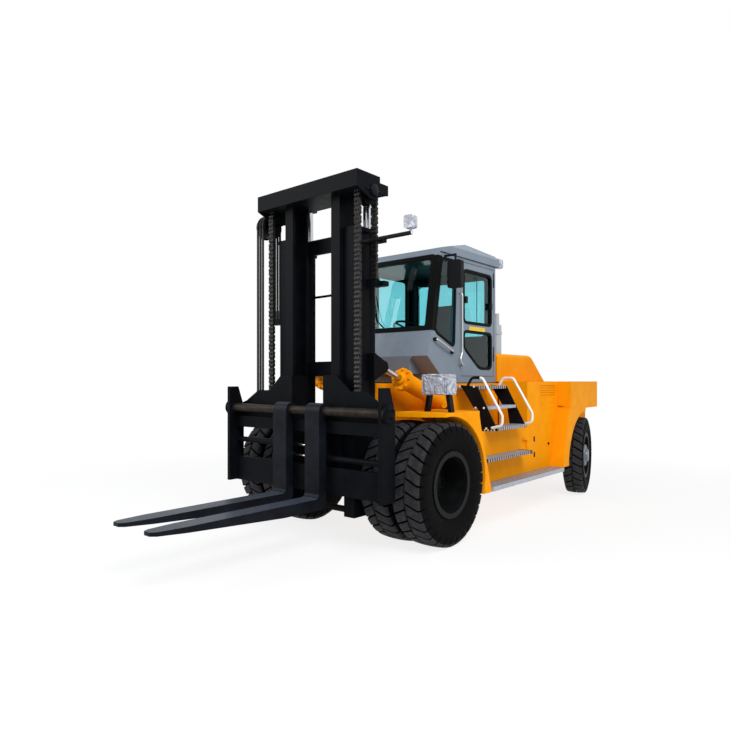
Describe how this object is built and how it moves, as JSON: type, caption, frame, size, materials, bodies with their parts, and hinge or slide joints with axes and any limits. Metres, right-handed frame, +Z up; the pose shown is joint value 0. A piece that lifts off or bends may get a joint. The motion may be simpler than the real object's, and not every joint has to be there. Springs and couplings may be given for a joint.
{
  "type": "heavy counterbalance forklift truck",
  "caption": "Heavy diesel counterbalance forklift with dual front tyres, a wide two-stage chain mast, a shaft-hung fork carriage, a closed grey cab and orange bodywork.",
  "frame": {"origin": "on the ground, below the middle of the truck's overall length and width", "axes": "+X forward towards the fork tips, +Y to the driver's left, +Z up"},
  "size_m": [8.165, 2.943, 4.05],
  "materials": {
    "body_paint": "gloss",
    "cab_paint": "semi-gloss",
    "mast_paint": "semi-gloss",
    "chassis_paint": "satin",
    "hub_paint": "satin",
    "rail_paint": "gloss",
    "stack_paint": "semi-gloss",
    "galvanised_steel": "galvanised",
    "chain_steel": "oiled",
    "rod_chrome": "polished",
    "cast_iron": "as cast",
    "tyre_rubber": "matte",
    "hose_rubber": "matte",
    "cab_glass": "tinted",
    "lamp_plastic": "clear over silver",
    "trim_plastic": "grained",
    "seat_fabric": "woven"
  },
  "bodies": {
    "chassis": {"frame": "body_paint", "engine": "cast_iron", "cab_platform": "body_paint", "front_axle": "chassis_paint", "rear_axle": "chassis_paint", "front_fenders": "body_paint", "side_tanks": "body_paint", "side_treads": "galvanised_steel", "body_sides": "body_paint", "counterweight": "body_paint", "radiator_grille": "chassis_paint", "ladder": "chassis_paint", "handrails": "rail_paint", "headlamps": "lamp_plastic", "cab_body": "cab_paint", "cab_glass": "cab_glass", "cab_roof": "cab_paint", "cab_mirrors": "trim_plastic", "seat": "seat_fabric", "console": "trim_plastic", "steering_wheel": "trim_plastic"},
    "door": {"door": "cab_paint", "door_glass": "cab_glass"},
    "hood": {"hood": "body_paint", "exhaust_stack": "stack_paint"},
    "mast_outer": {"mast_outer": "mast_paint", "lift_barrels": "mast_paint", "mast_lamp": "lamp_plastic"},
    "mast_inner": {"mast_inner": "mast_paint", "lift_rods": "rod_chrome", "chain_sheaves": "mast_paint", "chain_wraps": "chain_steel", "chains_back": "chain_steel", "hose_sheave": "mast_paint", "hose_bends": "hose_rubber", "hoses_back": "hose_rubber"},
    "carriage": {"carriage_frame": "mast_paint", "carriage_plates": "mast_paint", "fork_shaft": "mast_paint", "positioner_barrels": "mast_paint", "chains_front": "chain_steel", "hoses_front": "hose_rubber"},
    "fork_left": {"fork_left": "mast_paint", "positioner_rod_left": "rod_chrome"},
    "fork_right": {"fork_right": "mast_paint", "positioner_rod_right": "rod_chrome"},
    "tilt_barrel_left": {"tilt_barrel_left": "body_paint"},
    "tilt_barrel_right": {"tilt_barrel_right": "body_paint"},
    "tilt_rod_left": {"tilt_rod_left": "rod_chrome"},
    "tilt_rod_right": {"tilt_rod_right": "rod_chrome"},
    "wheel_front_left": {"front_tyres_left": "tyre_rubber", "front_rims_left": "chassis_paint"},
    "wheel_front_right": {"front_tyres_right": "tyre_rubber", "front_rims_right": "chassis_paint"},
    "knuckle_left": {"knuckle_left": "chassis_paint"},
    "knuckle_right": {"knuckle_right": "chassis_paint"},
    "wheel_rear_left": {"rear_tyre_left": "tyre_rubber", "rear_rim_left": "hub_paint"},
    "wheel_rear_right": {"rear_tyre_right": "tyre_rubber", "rear_rim_right": "hub_paint"}
  },
  "joints": [
    {"name": "mast_tilt", "type": "hinge", "parent": "chassis", "child": "mast_outer", "pos_m": [1.4775, 0, 0.5], "axis": [0, 1, 0], "range_deg": [-12, 6]},
    {"name": "mast_lift", "type": "slide", "parent": "mast_outer", "child": "mast_inner", "axis": [0, 0, 1], "range_m": [-0.19, 1.5], "deforming": ["chains_back", "hoses_back"]},
    {"name": "carriage_lift", "type": "slide", "parent": "mast_inner", "child": "carriage", "axis": [0, 0, 1], "range_m": [-0.19, 1.5], "deforming": ["chains_front", "hoses_front"]},
    {"name": "fork_slide_left", "type": "slide", "parent": "carriage", "child": "fork_left", "axis": [0, 1, 0], "range_m": [-0.12, 0.75]},
    {"name": "fork_slide_right", "type": "slide", "parent": "carriage", "child": "fork_right", "axis": [0, -1, 0], "range_m": [-0.12, 0.75]},
    {"name": "tilt_swing_left", "type": "hinge", "parent": "chassis", "child": "tilt_barrel_left", "pos_m": [0.1605, 0.65, 1.55], "axis": [0, 1, 0], "range_deg": [-3.7, 1.9]},
    {"name": "tilt_stroke_left", "type": "slide", "parent": "tilt_barrel_left", "child": "tilt_rod_left", "axis": [0.9481, 0, 0.318], "range_m": [-0.31, 0.16]},
    {"name": "tilt_swing_right", "type": "hinge", "parent": "chassis", "child": "tilt_barrel_right", "pos_m": [0.1605, -0.65, 1.55], "axis": [0, 1, 0], "range_deg": [-3.7, 1.9]},
    {"name": "tilt_stroke_right", "type": "slide", "parent": "tilt_barrel_right", "child": "tilt_rod_right", "axis": [0.9481, 0, 0.318], "range_m": [-0.31, 0.16]},
    {"name": "front_spin_left", "type": "hinge", "parent": "chassis", "child": "wheel_front_left", "pos_m": [1.1175, 1.25, 0.685], "axis": [0, 1, 0], "continuous": true},
    {"name": "front_spin_right", "type": "hinge", "parent": "chassis", "child": "wheel_front_right", "pos_m": [1.1175, -1.25, 0.685], "axis": [0, 1, 0], "continuous": true},
    {"name": "steer_left", "type": "hinge", "parent": "chassis", "child": "knuckle_left", "pos_m": [-2.9825, 1, 0.6125], "axis": [0, 0, 1], "range_deg": [-78, 52]},
    {"name": "rear_spin_left", "type": "hinge", "parent": "knuckle_left", "child": "wheel_rear_left", "pos_m": [-2.9825, 1, 0.6125], "axis": [-0.225, 0.9744, 0], "continuous": true},
    {"name": "steer_right", "type": "hinge", "parent": "chassis", "child": "knuckle_right", "pos_m": [-2.9825, -1, 0.6125], "axis": [0, 0, 1], "range_deg": [-78, 52]},
    {"name": "rear_spin_right", "type": "hinge", "parent": "knuckle_right", "child": "wheel_rear_right", "pos_m": [-2.9825, -1, 0.6125], "axis": [-0.225, 0.9744, 0], "continuous": true},
    {"name": "door_swing", "type": "hinge", "parent": "chassis", "child": "door", "pos_m": [-1.0325, 0.755, 2.5], "axis": [0, 0, 1], "range_deg": [0, 85]},
    {"name": "hood_lift", "type": "hinge", "parent": "chassis", "child": "hood", "pos_m": [-2.7585, 0, 1.819], "axis": [0, -1, 0], "range_deg": [0, 50]}
  ],
  "couplings": [
    {"joint": "carriage_lift", "follows": "mast_lift", "ratio": 1},
    {"joint": "steer_right", "follows": "steer_left", "ratio": 1},
    {"joint": "tilt_swing_left", "follows": "mast_tilt", "ratio": 0.295},
    {"joint": "tilt_stroke_left", "follows": "mast_tilt", "m_per_rad": 1.43},
    {"joint": "tilt_swing_right", "follows": "mast_tilt", "ratio": 0.295},
    {"joint": "tilt_stroke_right", "follows": "mast_tilt", "m_per_rad": 1.43}
  ]
}
